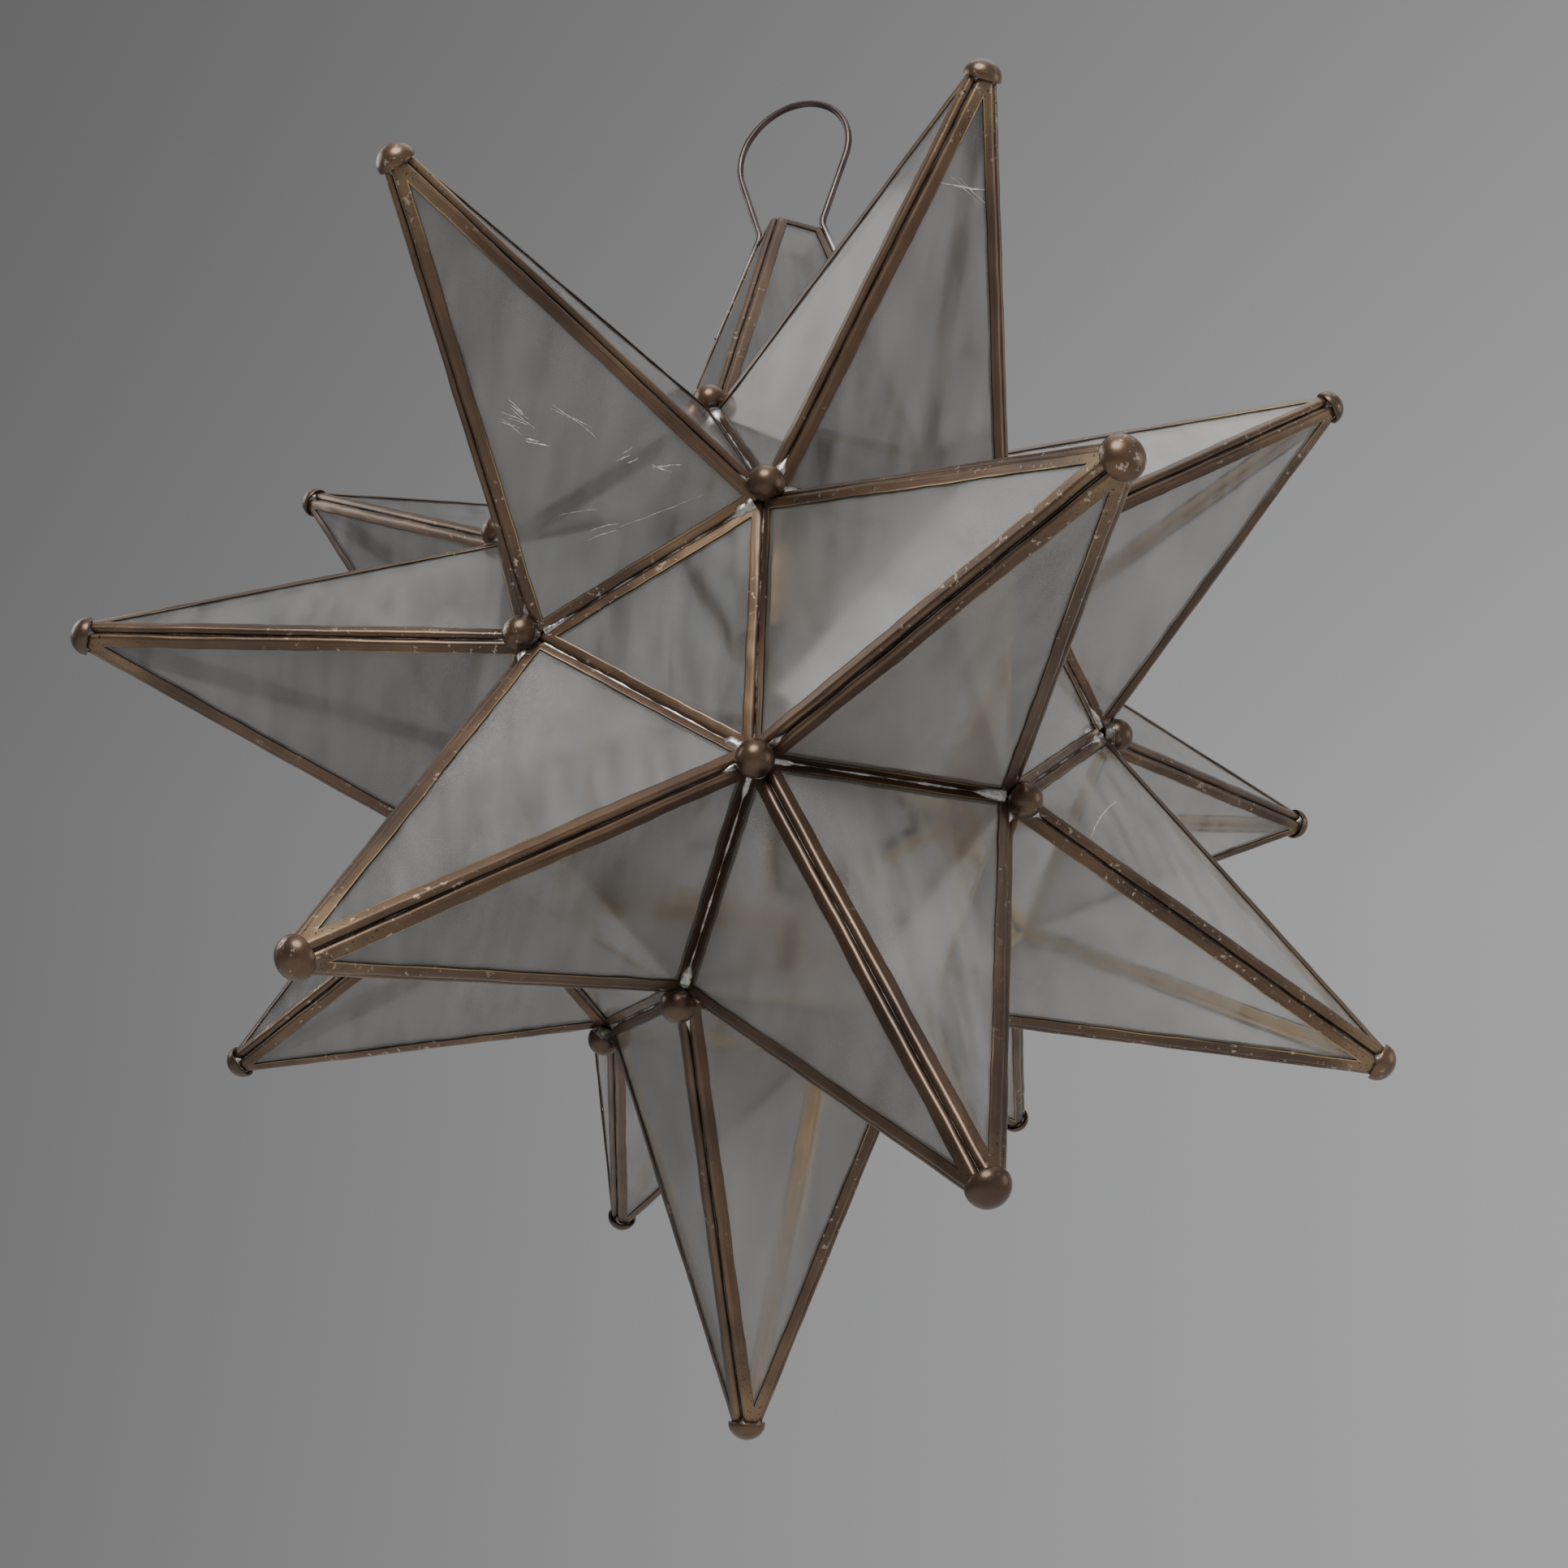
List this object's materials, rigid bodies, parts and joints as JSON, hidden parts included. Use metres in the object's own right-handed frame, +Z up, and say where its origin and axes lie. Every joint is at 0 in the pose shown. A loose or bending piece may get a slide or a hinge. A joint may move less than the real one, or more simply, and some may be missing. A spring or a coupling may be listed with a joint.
{
  "type": "glass star pendant light",
  "caption": "Hanging star lantern: spikes of frosted glass panes in soldered brass channels, dome caps, a wire bail, a rear door with a turn latch, and a lampholder with a bulb.",
  "frame": {"origin": "inside of the bail's top, where a hook would carry the star", "axes": "+Z up along the hanging axis, +X to the right and +Y to the back as seen from the front"},
  "size_m": [0.4498, 0.4498, 0.4929],
  "materials": {
    "aged_brass": "aged, satin",
    "frosted_glass": "frosted",
    "bail_wire": "oxidised wire",
    "hinge_steel": "plain steel",
    "lamp_fittings": "satin",
    "lampholder_skin": "satin",
    "lamp_contacts": "satin",
    "lamp_ceramic": "unglazed ceramic",
    "bulb_glass": "clear",
    "filament": "glass stem with its filament"
  },
  "bodies": {
    "star": {"bulb_contact": "lamp_contacts", "bulb_filament": "filament", "bulb_glass": "bulb_glass", "bulb_screw_cap": "lamp_contacts", "cord_tube": "lamp_fittings", "facet_frames": "aged_brass", "facet_glass": "frosted_glass", "fixed_hinge_leaf": "aged_brass", "hanging_bail": "bail_wire", "hinge_pin": "hinge_steel", "lamp_crossbar": "lamp_fittings", "lampholder_body": "lampholder_skin", "lampholder_cap": "lampholder_skin", "lampholder_contact": "lamp_contacts", "lampholder_insulator": "lamp_ceramic", "lampholder_shell": "lamp_contacts", "neck_frame": "aged_brass", "neck_glass": "frosted_glass", "spike_back_frame": "aged_brass", "spike_back_glass": "frosted_glass", "spike_bottom_frame": "aged_brass", "spike_bottom_glass": "frosted_glass", "spike_front_frame": "aged_brass", "spike_front_glass": "frosted_glass", "spike_left_frame": "aged_brass", "spike_left_glass": "frosted_glass", "spike_left_lower_back_frame": "aged_brass", "spike_left_lower_back_glass": "frosted_glass", "spike_left_lower_front_frame": "aged_brass", "spike_left_lower_front_glass": "frosted_glass", "spike_left_upper_back_frame": "aged_brass", "spike_left_upper_back_glass": "frosted_glass", "spike_left_upper_front_frame": "aged_brass", "spike_left_upper_front_glass": "frosted_glass", "spike_lower_back_frame": "aged_brass", "spike_lower_back_glass": "frosted_glass", "spike_lower_front_frame": "aged_brass", "spike_lower_front_glass": "frosted_glass", "spike_right_frame": "aged_brass", "spike_right_glass": "frosted_glass", "spike_right_lower_back_frame": "aged_brass", "spike_right_lower_back_glass": "frosted_glass", "spike_right_lower_front_frame": "aged_brass", "spike_right_lower_front_glass": "frosted_glass", "spike_right_upper_back_frame": "aged_brass", "spike_right_upper_back_glass": "frosted_glass", "spike_right_upper_front_frame": "aged_brass", "spike_right_upper_front_glass": "frosted_glass", "spike_upper_back_frame": "aged_brass", "spike_upper_back_glass": "frosted_glass", "spike_upper_front_frame": "aged_brass", "spike_upper_front_glass": "frosted_glass", "tip_caps": "aged_brass", "tube_nut": "lamp_fittings", "valley_knobs": "aged_brass"},
    "door": {"door_frame": "aged_brass", "door_glass": "frosted_glass", "door_hinge_leaf": "aged_brass"},
    "latch": {"latch_knob": "aged_brass", "latch_tongue": "aged_brass"}
  },
  "joints": [
    {"name": "door_hinge", "type": "hinge", "parent": "star", "child": "door", "pos_m": [0.04326, 0.09892, -0.26545], "axis": [0, 0, 1], "range_deg": [0, 110]},
    {"name": "latch_turn", "type": "hinge", "parent": "door", "child": "latch", "pos_m": [0.08992, 0.06127, -0.26545], "axis": [0.5774, 0.8165, 0], "range_deg": [0, 120]}
  ]
}
